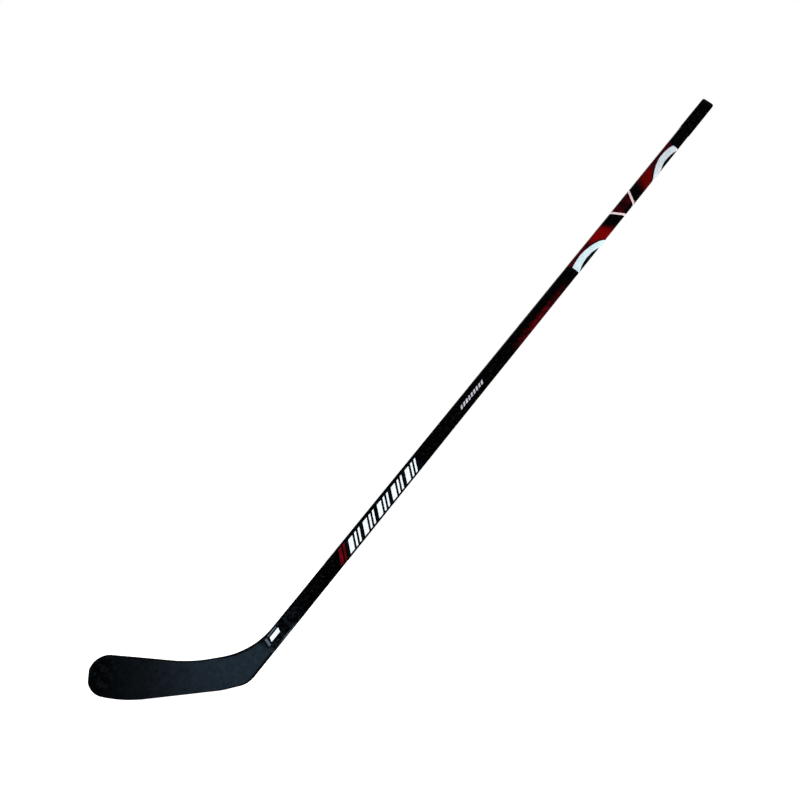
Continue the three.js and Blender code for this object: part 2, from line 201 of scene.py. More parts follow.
SPINE = fillet_path([
    [TOE_X, TOE_Z],
    [*shaft_plane(29.4, 0.0), 100.0],
    list(shaft_plane(OUTLINE_END, 0.0)),
], 0.1)
SPINE_STEPS = np.diff(SPINE, axis=0)
SPINE_LENGTHS = np.linalg.norm(SPINE_STEPS, axis=1)
SPINE_REACH = np.concatenate([[0.0], np.cumsum(SPINE_LENGTHS)])


def spine_at(distance):
    """The spine's point and direction at a distance from the toe."""
    i = int(np.clip(np.searchsorted(SPINE_REACH, distance) - 1, 0, len(SPINE_STEPS) - 1))
    direction = SPINE_STEPS[i] / SPINE_LENGTHS[i]
    return SPINE[i] + direction * (distance - SPINE_REACH[i]), direction


def spine_distance(u):
    """How far along the spine the shaft's station u lies."""
    target = shaft_plane(u, 0.0)
    low, high = 0.0, SPINE_REACH[-1]
    for _ in range(40):
        middle = (low + high) / 2
        point, direction = spine_at(middle)
        if (target - point) @ direction > 0:
            low = middle
        else:
            high = middle
    return low


def edge_crossing(edge, point, direction):
    """Where an edge first passes the line across the spine at a point."""
    ahead = (edge - point) @ direction
    i = int(np.argmax((ahead[:-1] <= 0) & (ahead[1:] > 0)))
    share = -ahead[i] / (ahead[i + 1] - ahead[i])
    return edge[i] + (edge[i + 1] - edge[i]) * share


WRAP_STATION = spine_distance(WRAP_START)
SEAM_STATION = spine_distance(SHAFT_START) - GAP

# ----------------------------------------------------------
# Cross-sections: low and high edge, half thickness, corner radius and sideways offset


def smoother(value, start, end):
    t = min(1.0, max(0.0, (value - start) / (end - start)))
    return t * t * t * (t * (6 * t - 15) + 10)


def blade_section(distance):
    point, direction = spine_at(distance)
    neck = smoother(distance, HOSEL_MOULD_START, WRAP_STATION)
    thickening = min(1.0, distance / HOSEL_MOULD_START)
    before_tip = max(0.0, 1 - distance / BLADE_CORNER)
    blade_half = (TOE_HALF + (HEEL_HALF - TOE_HALF) * thickening) * math.sqrt(1 - before_tip ** 2)
    beyond = max(0.0, BLADE_CURVE_START_X - point[0]) / (BLADE_CURVE_START_X - TOE_X)
    return {
        "low": edge_crossing(BOTTOM_EDGE, point, direction),
        "high": edge_crossing(TOP_EDGE, point, direction),
        "half": blade_half + (SHAFT_HALF_THICKNESS - blade_half) * neck,
        "corner": BLADE_CORNER + (SHAFT_CORNER - BLADE_CORNER) * neck,
        "offset": -BLADE_CURVE_DEPTH * beyond ** 2,
    }


def shaft_section(u):
    return {
        "low": shaft_plane(u, shaft_width(u) / 2),
        "high": shaft_plane(u, -shaft_width(u) / 2),
        "half": SHAFT_HALF_THICKNESS,
        "corner": SHAFT_CORNER,
        "offset": 0.0,
    }


def section_points(section, pairs):
    """3D points from pairs of q, across the stick from its low edge, and y, through it."""
    low, high = section["low"], section["high"]
    across = (high - low) / np.linalg.norm(high - low)
    return np.array([
        [*(low + across * q), section["offset"] + y] for q, y in pairs
    ])[:, [0, 2, 1]]


def half_profile(section, inset, side, seam_y, chamfer, face_steps):
    """Pairs q, y of one face: from the low edge's seam round the face to the high edge's seam."""
    width = float(np.linalg.norm(section["high"] - section["low"]))
    half = max(LEAST_HALF, section["half"] - inset)
    seam = min(seam_y, 0.4 * half)
    radius = min(section["corner"] - inset, half - seam_y - SEAM_CLEARANCE)
    radius = min(max(LEAST_CORNER, radius), half * 0.9)
    angles = np.linspace(0, math.pi / 2, CORNER_STEPS + 1)
    rise = radius * (1 - np.cos(angles))
    out = half - radius + radius * np.sin(angles)
    flat = width - 2 * inset - 2 * radius
    lead = min(FIRST_FACE_STEP, flat / 6)
    stops = np.concatenate([[lead], np.linspace(0, flat, face_steps + 1)[1:-1], [flat - lead]])
    near, far = [(inset, seam)], [(width - inset, seam)]
    if chamfer:
        lip = seam + side * SEAM_HALF_GAP
        edge = seam + side * (SEAM_HALF_GAP + chamfer)
        near = [(inset + chamfer, lip), (inset, edge)]
        far = [(width - inset, edge), (width - inset - chamfer, lip)]
    pairs = near + [(inset + r, side * o) for r, o in zip(rise, out)]
    pairs += [(inset + radius + s, side * half) for s in stops]
    pairs += [(width - inset - r, side * o) for r, o in zip(rise[::-1], out[::-1])]
    return pairs + far


def ring(section, inset):
    """A whole rounded rectangle, with its first point repeated at the end."""
    front = half_profile(section, inset, -1, 0.0, 0.0, TUBE_FACE_STEPS)
    back = half_profile(section, inset, 1, 0.0, 0.0, TUBE_FACE_STEPS)
    return section_points(section, front + back[::-1][1:])


# ----------------------------------------------------------
# Mesh building

WELD_METRES = 2e-6


def lays_of(rows, along):
    """Each point's place along the stick, which its row shares, and its place round it."""
    lays = []
    for row, place in zip(rows, along):
        reach = np.concatenate([[0.0], np.cumsum(np.linalg.norm(np.diff(row, axis=0), axis=1))])
        lays.append([(place, value - reach[-1] / 2) for value in reach])
    return lays


class Body:
    """Patches of quads that are welded into one closed mesh.

    A lay is a point's place along and round the stick, for the weave. A mark is 1 round the blade's
    rim, on its rounded edges and parting line.
    """

    def __init__(self):
        self.points = []
        self.lays = []
        self.marks = []
        self.faces = []

    def grid(self, rows, lays, marks=None):
        base = len(self.points)
        count = len(rows[0])
        for i, row in enumerate(rows):
            for j in range(count):
                self.points.append(row[j])
                self.lays.append(lays[i][j])
                self.marks.append(marks[i][j] if marks is not None else 0.0)
        for i in range(len(rows) - 1):
            for j in range(count - 1):
                a = base + i * count + j
                self.faces.append((a, a + 1, a + count + 1, a + count))

    def cap(self, row):
        """A flat end over a ring whose first point is repeated."""
        base = len(self.points)
        for point in row[:-1]:
            self.points.append(point)
            self.lays.append((point[0], point[1]))
            self.marks.append(0.0)
        self.faces.append(tuple(range(base, base + len(row) - 1)))

    def shell(self, outer, inner, lays, marks=None):
        """A thick sheet between two open grids."""
        self.grid(outer, lays, marks)
        self.grid(inner, lays)
        for side in (0, -1):
            edge = [lay[side] for lay in lays]
            self.grid([[row[side] for row in outer], [row[side] for row in inner]], [edge, edge])
            self.grid([outer[side], inner[side]], [lays[side], lays[side]])

    def outside_faces(self):
        """The faces without the walls where two patches meet, which would lie inside."""
        places = [tuple(np.round(point, 4)) for point in self.points]
        outlines = [frozenset(places[i] for i in face) for face in self.faces]
        uses = Counter(outlines)
        return [face for face, outline in zip(self.faces, outlines) if uses[outline] == 1]

    def build(self, name, material, body, replaces):
        mesh = bpy.data.meshes.new(name)
        bm = bmesh.new()
        mark_layer = bm.verts.layers.float.new("mark")
        lay_layer = bm.loops.layers.uv.new("lay")
        verts = [bm.verts.new(Vector(p) * MM) for p in self.points]
        for vert, mark in zip(verts, self.marks):
            vert[mark_layer] = mark
        for face in self.outside_faces():
            made = bm.faces.new([verts[i] for i in face])
            made.smooth = True
            for loop, i in zip(made.loops, face):
                loop[lay_layer].uv = Vector(self.lays[i]) * MM
        bmesh.ops.remove_doubles(bm, verts=bm.verts, dist=WELD_METRES)
        bmesh.ops.dissolve_degenerate(bm, edges=bm.edges, dist=WELD_METRES)
        bmesh.ops.recalc_face_normals(bm, faces=bm.faces)
        if bm.calc_volume(signed=True) < 0:
            bmesh.ops.reverse_faces(bm, faces=bm.faces)
        bm.to_mesh(mesh)
        bm.free()
        mesh.set_sharp_from_angle(angle=math.radians(SHARP_EDGE_DEGREES))
        mesh.materials.append(material)
        piece = bpy.data.objects.new(name, mesh)
        bpy.context.scene.collection.objects.link(piece)
        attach(piece, body)
        if replaces:
            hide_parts(*replaces)


# ----------------------------------------------------------
# Node materials. Places and widths in them are in metres.

TOW = 0.003
BLADE_TOW = 0.007
FIBRES_ALONG_TOW = 0.6
FIBRES_ACROSS_TOW = 14.0
SLATE_END_SLOPE = -0.35
SLATE_END_LOW = 0.093
SLATE_END_HIGH = 0.105


class Nodes:
    """Short calls that make and link the nodes of a material or of the world."""

    def __init__(self, tree):
        self.tree = tree

    def node(self, kind, **settings):
        node = self.tree.nodes.new(kind)
        for key, value in settings.items():
            setattr(node, key, value)
        return node

    def feed(self, socket, value):
        if isinstance(value, bpy.types.NodeSocket):
            self.tree.links.new(value, socket)
        else:
            socket.default_value = value

    def parts(self, vector):
        node = self.node("ShaderNodeSeparateXYZ")
        self.feed(node.inputs[0], vector)
        return node.outputs[0], node.outputs[1], node.outputs[2]

    def vector(self, x, y):
        node = self.node("ShaderNodeCombineXYZ")
        for socket, value in zip(node.inputs, (x, y)):
            self.feed(socket, value)
        return node.outputs[0]

    def math(self, operation, *values):
        node = self.node("ShaderNodeMath", operation=operation)
        for socket, value in zip(node.inputs, values):
            self.feed(socket, value)
        return node.outputs[0]

    def times(self, a, b):
        return self.math("MULTIPLY", a, b)

    def scaled(self, value, factor, offset):
        """value times factor, plus offset."""
        return self.math("MULTIPLY_ADD", value, factor, offset)

    def fade(self, value, start, end, low=0.0, high=1.0):
        """low before start and high after end, with a smooth change between them."""
        node = self.node("ShaderNodeMapRange", interpolation_type="SMOOTHSTEP")
        for socket, given in zip(node.inputs, (value, start, end, low, high)):
            self.feed(socket, given)
        return node.outputs[0]

    def within(self, value, start, full_start, full_end, end):
        """1 from full_start to full_end, fading to 0 at start and at end."""
        rise = self.fade(value, start, full_start)
        return self.times(rise, self.fade(value, full_end, end, 1.0, 0.0))

    def blend(self, factor, a, b):
        """A colour between a and b."""
        node = self.node("ShaderNodeMix", data_type="RGBA")
        self.feed(node.inputs["Factor"], factor)
        colours = [s for s in node.inputs if s.type == "RGBA"]
        self.feed(colours[0], a)
        self.feed(colours[1], b)
        return next(s for s in node.outputs if s.type == "RGBA")

    def noise(self, vector, scale, detail=2.0, roughness=0.5):
        node = self.node("ShaderNodeTexNoise")
        self.feed(node.inputs["Vector"], vector)
        self.feed(node.inputs["Scale"], scale)
        self.feed(node.inputs["Detail"], detail)
        self.feed(node.inputs["Roughness"], roughness)
        return node.outputs["Fac"]

    def cells(self, vector, scale):
        node = self.node("ShaderNodeTexVoronoi", feature="F1")
        self.feed(node.inputs["Vector"], vector)
        self.feed(node.inputs["Scale"], scale)
        return node.outputs["Distance"]

    def weave(self, along, across, tow):
        """A 2x2 twill: whether the lengthwise tow is on top, the tows' height and their fibres."""
        a = self.math("DIVIDE", along, tow)
        b = self.math("DIVIDE", across, tow)
        cell = self.math("ADD", self.math("FLOOR", a), self.math("FLOOR", b))
        over = self.math("LESS_THAN", self.math("FLOORED_MODULO", cell, 4.0), 1.5)
        swap = self.node("ShaderNodeMix", data_type="VECTOR")
        self.feed(swap.inputs["Factor"], over)
        vectors = [s for s in swap.inputs if s.type == "VECTOR"]
        self.feed(vectors[0], self.vector(b, a))
        self.feed(vectors[1], self.vector(a, b))
        lengthwise, crosswise, _ = self.parts(next(s for s in swap.outputs if s.type == "VECTOR"))
        middle = self.scaled(self.math("FRACT", crosswise), 2.0, -1.0)
        height = self.math("SUBTRACT", 1.0, self.math("POWER", self.math("ABSOLUTE", middle), 3.0))
        lengthwise = self.times(lengthwise, FIBRES_ALONG_TOW)
        crosswise = self.times(crosswise, FIBRES_ACROSS_TOW)
        fibres = self.noise(self.vector(lengthwise, crosswise), 1.0, 3.0, 0.6)
        return over, height, fibres


class Finish(Nodes):
    """A material being built, with one Principled surface.

    Its weave follows the mesh's lay or, on the pieces inside the stick, the place in space.
    """

    def __init__(self, name, coordinates="lay"):
        self.material = bpy.data.materials.new(name)
        self.material.use_nodes = True
        super().__init__(self.material.node_tree)
        self.surface = self.tree.nodes["Principled BSDF"]
        if coordinates == "lay":
            lay = self.node("ShaderNodeUVMap", uv_map="lay").outputs["UV"]
            self.along, self.across, _ = self.parts(lay)
        self.place = self.node("ShaderNodeTexCoord").outputs["Object"]
        self.x, self.y, self.z = self.parts(self.place)
        if coordinates != "lay":
            self.along, self.across = self.x, self.z

    def stick_place(self):
        """How far a point lies along the shaft's axis and across it, in metres."""
        x = self.math("SUBTRACT", self.x, AXIS_FOOT[0] * MM)
        along = self.scaled(x, ALONG[0], self.times(self.z, ALONG[1]))
        across = self.scaled(x, ACROSS[0], self.times(self.z, ACROSS[1]))
        return along, across

    def slate_end(self, along, across, blotch):
        """1 where the blade's slate coat has ended; it reaches further up on the heel side."""
        leaning = self.scaled(across, SLATE_END_SLOPE, along)
        ragged = self.scaled(blotch, 0.008, leaning)
        return self.fade(ragged, SLATE_END_LOW, SLATE_END_HIGH)

    def patches(self, scale, low, high):
        """Blotches of noise: 0 where it is under low, and 1 where it is over high."""
        return self.fade(self.noise(self.place, scale, 3.0, 0.6), low, high)

    def colour(self, value):
        self.feed(self.surface.inputs["Base Color"], value)

    def roughness(self, value):
        self.feed(self.surface.inputs["Roughness"], value)

    def bump(self, height, depth):
        """Raises the surface by up to depth, in metres, where height is 1."""
        node = self.node("ShaderNodeBump")
        node.inputs["Strength"].default_value = 1.0
        node.inputs["Distance"].default_value = depth
        self.feed(node.inputs["Height"], height)
        self.feed(self.surface.inputs["Normal"], node.outputs["Normal"])

    def coat(self, weight, roughness):
        self.surface.inputs["Coat Weight"].default_value = weight
        self.surface.inputs["Coat Roughness"].default_value = roughness

    def specular(self, level):
        self.surface.inputs["Specular IOR Level"].default_value = level


def linear(channel):
    share = channel / 255
    return ((share + 0.055) / 1.055) ** 2.4 if channel > 10 else share / 12.92


def rgb(red, green, blue):
    """An sRGB colour, 0 to 255, as the linear colour that a socket holds."""
    return (linear(red), linear(green), linear(blue), 1.0)


def gloss_carbon():
    """Black carbon twill under a clear gloss coat."""
    finish = Finish("gloss_carbon")
    over, height, fibres = finish.weave(finish.along, finish.across, TOW)
    cloud = finish.noise(finish.place, 60.0, 3.0)
    fleck = finish.patches(240.0, 0.52, 0.7)
    # Painted sheen: lighter where the lengthwise tow lies on top, standing in for how the weave
    # reflects.
    tow = finish.times(fibres, finish.scaled(over, 0.08, 0.01))
    light = finish.scaled(fleck, 0.55, tow)
    light = finish.times(light, finish.scaled(cloud, 1.6, 0.1))
    finish.colour(finish.blend(light, rgb(0, 0, 0), rgb(26, 26, 27)))
    finish.roughness(finish.scaled(fibres, 0.25, 0.3))
    finish.specular(0.04)
    finish.coat(0.6, 0.07)
    finish.bump(height, 0.00002)
    return finish.material


def wrap_carbon():
    """The joint wrap: black carbon under a bluish satin coat, with a pale painted highlight along
    its heel corner.
    """
    finish = Finish("wrap_carbon")
    along, across = finish.stick_place()
    over, height, fibres = finish.weave(finish.along, finish.across, TOW)
    blotch = finish.patches(95.0, 0.46, 0.72)
    fleck = finish.patches(260.0, 0.42, 0.66)
    light = finish.times(blotch, finish.scaled(fleck, 0.8, 0.2))
    # Painted sheen: lighter where the lengthwise tow lies on top, standing in for how the weave
    # reflects.
    light = finish.scaled(finish.times(fibres, over), 0.08, light)
    light = finish.times(light, finish.fade(along, 0.175, 0.188, 1.0, 0.3))
    coat = finish.blend(light, rgb(1, 2, 3), rgb(32, 44, 55))
    slate = finish.blend(fleck, rgb(24, 34, 42), rgb(38, 50, 60))
    spread = finish.noise(finish.place, 130.0, 3.0, 0.6)
    coat = finish.blend(finish.slate_end(along, across, spread), slate, coat)
    # Painted highlight: a pale patch on the wrap's heel corner, standing in for a reflection in the
    # coat.
    corner = finish.fade(across, 0.0118, 0.0148)
    painted_highlight = finish.times(corner, finish.within(along, 0.1, 0.132, 0.144, 0.164))
    painted_highlight = finish.times(painted_highlight, finish.scaled(fleck, 0.7, 0.3))
    finish.colour(finish.blend(painted_highlight, coat, rgb(92, 102, 108)))
    finish.roughness(finish.scaled(blotch, 0.15, 0.35))
    finish.specular(0.05)
    finish.coat(0.5, 0.12)
    finish.bump(height, 0.00002)
    return finish.material


def blade_coat():
    """Satin slate coat over coarse carbon tows, which show bare at the toe; the slate darkens
    towards the toe.
    """
    finish = Finish("blade_coat")
    over, height, fibres = finish.weave(finish.along, finish.across, BLADE_TOW)
    cloud = finish.noise(finish.place, 22.0, 4.0)
    speckle = finish.noise(finish.place, 900.0, 2.0, 0.7)
    blotch = finish.noise(finish.place, 130.0, 3.0, 0.6)
    # Painted sheen: the bare tows are lighter where the lengthwise tow lies on top, standing in for
    # how the weave reflects.
    tow = finish.times(fibres, finish.scaled(over, 0.7, 0.2))
    tow = finish.times(tow, finish.patches(120.0, 0.35, 0.62))
    bare = finish.blend(tow, rgb(0, 1, 2), rgb(19, 26, 31))
    tint = finish.scaled(speckle, 0.3, finish.times(blotch, 0.7))
    tint = finish.fade(tint, 0.26, 0.74)
    # The slate goes from darker on the toe side to lighter on the heel side.
    darker_slate = finish.blend(tint, rgb(2, 5, 8), rgb(11, 16, 20))
    lighter_slate = finish.blend(tint, rgb(19, 29, 38), rgb(31, 43, 54))
    ragged = finish.scaled(cloud, 0.03, finish.x)
    coated = finish.fade(ragged, -0.172, -0.105)
    slate = finish.blend(finish.fade(ragged, -0.128, 0.08), darker_slate, lighter_slate)
    colour = finish.blend(coated, bare, slate)
    along, across = finish.stick_place()
    colour = finish.blend(finish.slate_end(along, across, blotch), colour, rgb(3, 6, 9))
    # Near-black round the blade's rim, on its rounded edges and parting line, where the mark is 1.
    edge = finish.node("ShaderNodeAttribute", attribute_name="mark").outputs["Fac"]
    edge = finish.times(edge, 0.9)
    finish.colour(finish.blend(edge, colour, rgb(2, 2, 3)))
    finish.roughness(finish.scaled(speckle, 0.15, 0.42))
    finish.specular(0.06)
    telegraph = finish.times(height, finish.scaled(coated, -0.7, 1.0))
    finish.bump(finish.scaled(speckle, 0.35, telegraph), 0.00003)
    return finish.material


class Ink(Finish):
    """Printed film under the clear coat, with a fine grain."""

    def __init__(self, name):
        super().__init__(name)
        self.stick_along, self.stick_across = self.stick_place()
        self.grain = self.noise(self.place, 700.0, 2.0, 0.7)
        self.cloud = self.noise(self.place, 75.0, 3.0)
        uneven = self.scaled(self.grain, 0.5, self.times(self.cloud, 0.5))
        self.mottle = self.fade(uneven, 0.35, 0.65)
        self.roughness(self.scaled(self.grain, 0.12, 0.3))
        self.specular(0.04)
        self.coat(0.6, 0.1)
        self.bump(self.noise(self.place, 350.0, 2.0), 0.00001)


def plain_ink(name, dark, bright):
    """One colour of ink, a little uneven."""
    ink = Ink(name)
    ink.colour(ink.blend(ink.mottle, dark, bright))
    return ink.material


def crescent_ink():
    """Cool white ink, greyer on the upper crescent."""
    ink = Ink("crescent_ink")
    lower = ink.blend(ink.mottle, rgb(190, 216, 223), rgb(217, 236, 241))
    upper = ink.blend(ink.mottle, rgb(184, 198, 205), rgb(212, 221, 225))
    ink.colour(ink.blend(ink.fade(ink.stick_along, 1.2, 1.3), lower, upper))
    return ink.material


def field_red():
    """Red panels that darken towards their slanted ends, with maroon strips by the crescents."""
    ink = Ink("field_red")
    leaning = ink.scaled(ink.stick_across, -0.5, ink.stick_along)
    falling = ink.scaled(ink.stick_across, 0.5, ink.stick_along)
    ragged = ink.times(ink.math("SUBTRACT", ink.grain, 0.5), 0.02)
    leaning = ink.math("ADD", leaning, ragged)
    falling = ink.math("ADD", falling, ragged)
    panel = ink.within(leaning, 1.138, 1.162, 1.26, 1.27)
    panel = ink.math("ADD", panel, ink.within(falling, 1.27, 1.28, 1.368, 1.392))
    gone = ink.within(ink.scaled(ink.cloud, 0.012, leaning), 1.191, 1.215, 1.23, 1.26)
    unlit = ink.within(ink.scaled(ink.cloud, 0.02, falling), 1.25, 1.28, 1.333, 1.364)
    black = ink.math("MAXIMUM", gone, unlit)
    upper_share = ink.fade(ink.stick_along, 1.2, 1.3)
    strip = ink.blend(upper_share, rgb(84, 0, 16), rgb(58, 0, 10))
    middle_share = ink.within(ink.stick_along, 1.078, 1.1, 1.455, 1.49)
    strip = ink.blend(middle_share, rgb(108, 3, 14), strip)
    bright = ink.blend(upper_share, rgb(112, 0, 0), rgb(92, 0, 0))
    red = ink.blend(panel, ink.blend(ink.mottle, rgb(30, 0, 8), strip), bright)
    red = ink.blend(ink.fade(ink.mottle, 0.0, 0.5, 0.25, 0.0), red, rgb(50, 0, 6))
    edge = ink.fade(ink.math("ADD", ink.stick_across, ragged), -0.0135, -0.0105, 0.8, 0.0)
    black = ink.math("MAXIMUM", black, edge)
    ink.colour(ink.blend(black, red, rgb(5, 1, 2)))
    return ink.material


def maroon_ink():
    """Near-black red between the pinstripes, with brighter blotches."""
    ink = Ink("maroon_ink")
    mid_length = ink.within(ink.stick_along, 1.252, 1.263, 1.272, 1.284)
    mid_face = ink.within(ink.stick_across, -0.0135, -0.009, 0.003, 0.0095)
    light = ink.scaled(mid_length, -0.7, 1.0)
    light = ink.times(ink.patches(110.0, 0.3, 0.62), light)
    light = ink.times(light, ink.scaled(mid_face, 0.8, 0.2))
    ink.colour(ink.blend(light, rgb(12, 1, 2), rgb(58, 2, 10)))
    return ink.material


def ember_ink():
    """Red embers along the heel side of the shaft, broken up by blotches and gone at both ends."""
    ink = Ink("ember_ink")
    blotch = ink.noise(ink.place, 95.0, 3.0, 0.6)
    reach = ink.scaled(blotch, 0.02, ink.stick_across)
    reach = ink.scaled(ink.grain, 0.006, reach)
    lit = ink.math("POWER", ink.within(ink.stick_along, 0.8, 0.895, 0.97, 1.095), 3.0)
    glow = ink.times(ink.fade(reach, 0.0125, 0.0235), lit)
    broken = ink.scaled(ink.patches(140.0, 0.38, 0.64), 0.85, 0.15)
    glow = ink.times(glow, broken)
    ink.colour(ink.blend(glow, rgb(2, 2, 2), rgb(88, 3, 12)))
    return ink.material


def grip_rubber():
    """Fine-grained black grip: small raised cells with a soft sheen on their tops."""
    finish = Finish("grip_rubber")
    cells = finish.cells(finish.place, 900.0)
    wear = finish.noise(finish.place, 55.0, 4.0)
    light = finish.scaled(wear, 1.2, 0.1)
    light = finish.times(finish.patches(250.0, 0.48, 0.68), light)
    finish.colour(finish.blend(light, rgb(0, 0, 0), rgb(24, 24, 25)))
    finish.roughness(finish.scaled(wear, 0.25, 0.55))
    finish.specular(0.06)
    finish.bump(cells, 0.00012)
    return finish.material


def plug_plastic():
    """Moulded black plastic with a spark-eroded grain."""
    finish = Finish("plug_plastic")
    grain = finish.noise(finish.place, 2200.0, 3.0, 0.7)
    flow = finish.noise(finish.place, 90.0, 3.0)
    finish.colour(finish.blend(flow, rgb(1, 1, 1), rgb(13, 13, 14)))
    finish.roughness(finish.scaled(grain, 0.3, 0.35))
    finish.specular(0.1)
    finish.bump(grain, 0.00003)
    return finish.material


def raw_carbon():
    """Bare cured laminate: matte twill with resin-rich spots."""
    finish = Finish("raw_carbon", "place")
    girth = finish.math("ADD", finish.across, finish.y)
    over, height, fibres = finish.weave(finish.along, girth, TOW)
    spots = finish.fade(finish.noise(finish.place, 300.0, 2.0), 0.6, 0.7)
    # Painted sheen: lighter where the lengthwise tow lies on top, standing in for how the weave
    # reflects.
    light = finish.times(fibres, finish.math("ADD", over, 0.4))
    tows = finish.blend(light, rgb(14, 14, 16), rgb(62, 63, 66))
    finish.colour(finish.blend(spots, tows, rgb(20, 19, 17)))
    finish.roughness(finish.scaled(spots, -0.3, 0.6))
    finish.bump(height, 0.00006)
    return finish.material


def foam(name, deep, pale, scale, grain):
    """Cut closed-cell foam: open pits on a pale ground."""
    finish = Finish(name, "place")
    pits = finish.cells(finish.place, scale)
    patch = finish.noise(finish.place, 80.0, 3.0)
    ground = finish.blend(patch, deep, pale)
    finish.colour(finish.blend(finish.fade(pits, 0.05, 0.4), deep, ground))
    finish.roughness(finish.scaled(patch, 0.1, 0.85))
    finish.bump(pits, grain)
    return finish.material


def set_resin():
    """Set epoxy: amber, cloudy, with a few trapped bubbles."""
    finish = Finish("set_resin", "place")
    cloud = finish.noise(finish.place, 120.0, 4.0)
    bubbles = finish.fade(finish.cells(finish.place, 500.0), 0.1, 0.2)
    amber = finish.blend(cloud, rgb(150, 112, 52), rgb(206, 178, 116))
    finish.colour(finish.blend(bubbles, rgb(230, 214, 170), amber))
    finish.roughness(finish.scaled(cloud, 0.3, 0.2))
    finish.bump(bubbles, 0.00008)
    return finish.material


GLOSS_CARBON = gloss_carbon()
WRAP_CARBON = wrap_carbon()
BLADE_COAT = blade_coat()
GRIP_RUBBER = grip_rubber()
PLUG_PLASTIC = plug_plastic()
WHITE_INK = plain_ink("white_ink", rgb(224, 234, 240), rgb(240, 246, 249))
PALE_ROSE_INK = plain_ink("pale_rose_ink", rgb(212, 192, 195), rgb(228, 208, 212))
GREY_INK = plain_ink("grey_ink", rgb(64, 78, 88), rgb(96, 112, 122))
SILVER_INK = plain_ink("silver_ink", rgb(150, 152, 162), rgb(206, 208, 220))
NAVY_INK = plain_ink("navy_ink", rgb(1, 2, 5), rgb(8, 12, 20))
BLACK_INK = plain_ink("black_ink", rgb(1, 1, 2), rgb(14, 16, 22))
MARK_RED_INK = plain_ink("mark_red_ink", rgb(66, 0, 6), rgb(116, 2, 16))
CRESCENT_INK = crescent_ink()
FIELD_RED = field_red()
MAROON_INK = maroon_ink()
EMBER_INK = ember_ink()

# ----------------------------------------------------------
# Blade


def blade_shell(name, side, node):
    """One moulded skin, from the toe tip to the hosel's seam, with a rolled-in parting line."""
    face = list(np.arange(BLADE_ROW_START, WRAP_STATION - 2, BLADE_ROW_STEP))
    under_wrap = np.linspace(WRAP_STATION + 0.2, SEAM_STATION, 8)
    rows = [(d, 0.0) for d in TOE_ROWS + face + [WRAP_STATION - 0.6]]
    rows += [(WRAP_STATION - GAP, 0.25)] + [(d, WRAP_RECESS) for d in under_wrap]
    outer, inner, marks = [], [], []
    for distance, inset in rows:
        section = blade_section(distance)
        pairs = half_profile(section, inset, side, SEAM_Y, SEAM_CHAMFER, BLADE_FACE_STEPS)
        outer.append(section_points(section, pairs))
        deepest = max(abs(y) for _, y in pairs)
        marks.append([1.0 if abs(y) < deepest - 0.05 else 0.0 for _, y in pairs])
        if distance < 3:
            section = blade_section(distance + BLADE_SKIN)
        inset += BLADE_SKIN
        pairs = half_profile(section, inset, side, SEAM_Y, SEAM_CHAMFER, BLADE_FACE_STEPS)
        inner.append(section_points(section, pairs))
    shape = Body()
    shape.shell(outer, inner, lays_of(outer, [d for d, _ in rows]), marks)
    shape.build(name, BLADE_COAT, STICK, [node])


blade_shell("blade_front_shell", -1, "blade_front_skin")
blade_shell("blade_back_shell", 1, "blade_back_skin")

# ----------------------------------------------------------
# Hosel wrap, shaft, sleeve and plug


def tube(name, outer, inner, material, node):
    """A tube between rows of (section, inset), which stands for a node of the stick."""
    run = outer + inner[::-1] + [outer[0]]
    rings = [ring(section, inset) for section, inset in run]
    middles = np.array([(section["low"] + section["high"]) / 2 for section, _ in run])
    shape = Body()
    shape.grid(rings, lays_of(rings, (middles - AXIS_FOOT) @ ALONG))
    shape.build(name, material, STICK, [node])


def joint_wrap():
    lower = [blade_section(d) for d in np.linspace(WRAP_STATION + GAP, SEAM_STATION, 24)]
    upper = [shaft_section(u) for u in np.linspace(SHAFT_START + 2, WRAP_END, 10)]
    sections = lower + upper
    outer = [(sections[0], WRAP_EDGE), (blade_section(WRAP_STATION + 0.6), -WRAP_PROUD)]
    outer += [(s, -WRAP_PROUD) for s in sections[1:-1]]
    outer += [(shaft_section(WRAP_END - 0.5), -WRAP_PROUD), (sections[-1], WRAP_EDGE)]
    inner = [(s, WRAP_SEAT) for s in sections]
    tube("hosel_wrap", outer, inner, WRAP_CARBON, "joint_wrap")


def shaft():
    ledge = WRAP_END + GAP
    outer = [(shaft_section(SHAFT_START), WRAP_RECESS), (shaft_section(ledge), WRAP_RECESS)]
    outer += [(shaft_section(ledge + 0.05), 0.2), (shaft_section(ledge + 0.4), 0.0)]
    outer += [(shaft_section(u), 0.0) for u in np.linspace(ledge + 12, SHAFT_END - 0.5, 60)]
    outer += [(shaft_section(SHAFT_END), 0.4)]
    inner = [(shaft_section(u), SHAFT_WALL) for u in np.linspace(SHAFT_START, SHAFT_END, 40)]
    tube("shaft_shell", outer, inner, GLOSS_CARBON, "shaft_tube")


def grip_end():
    start, end = SLEEVE_START, SHAFT_END
    outer = [(start, SLEEVE_INNER), (start + 0.1, SLEEVE_OUTER * 0.7)]
    outer += [(u, SLEEVE_OUTER) for u in np.linspace(start + 0.6, end - 0.4, 24)]
    outer += [(end - 0.1, SLEEVE_OUTER - 0.12), (end, SLEEVE_INNER)]
    outer = [(shaft_section(u), -proud) for u, proud in outer]
    inner = [(shaft_section(u), -SLEEVE_INNER + 0.1) for u in (start, end)]
    tube("grip_end_cover", outer, inner, GRIP_RUBBER, "grip_end_sleeve")


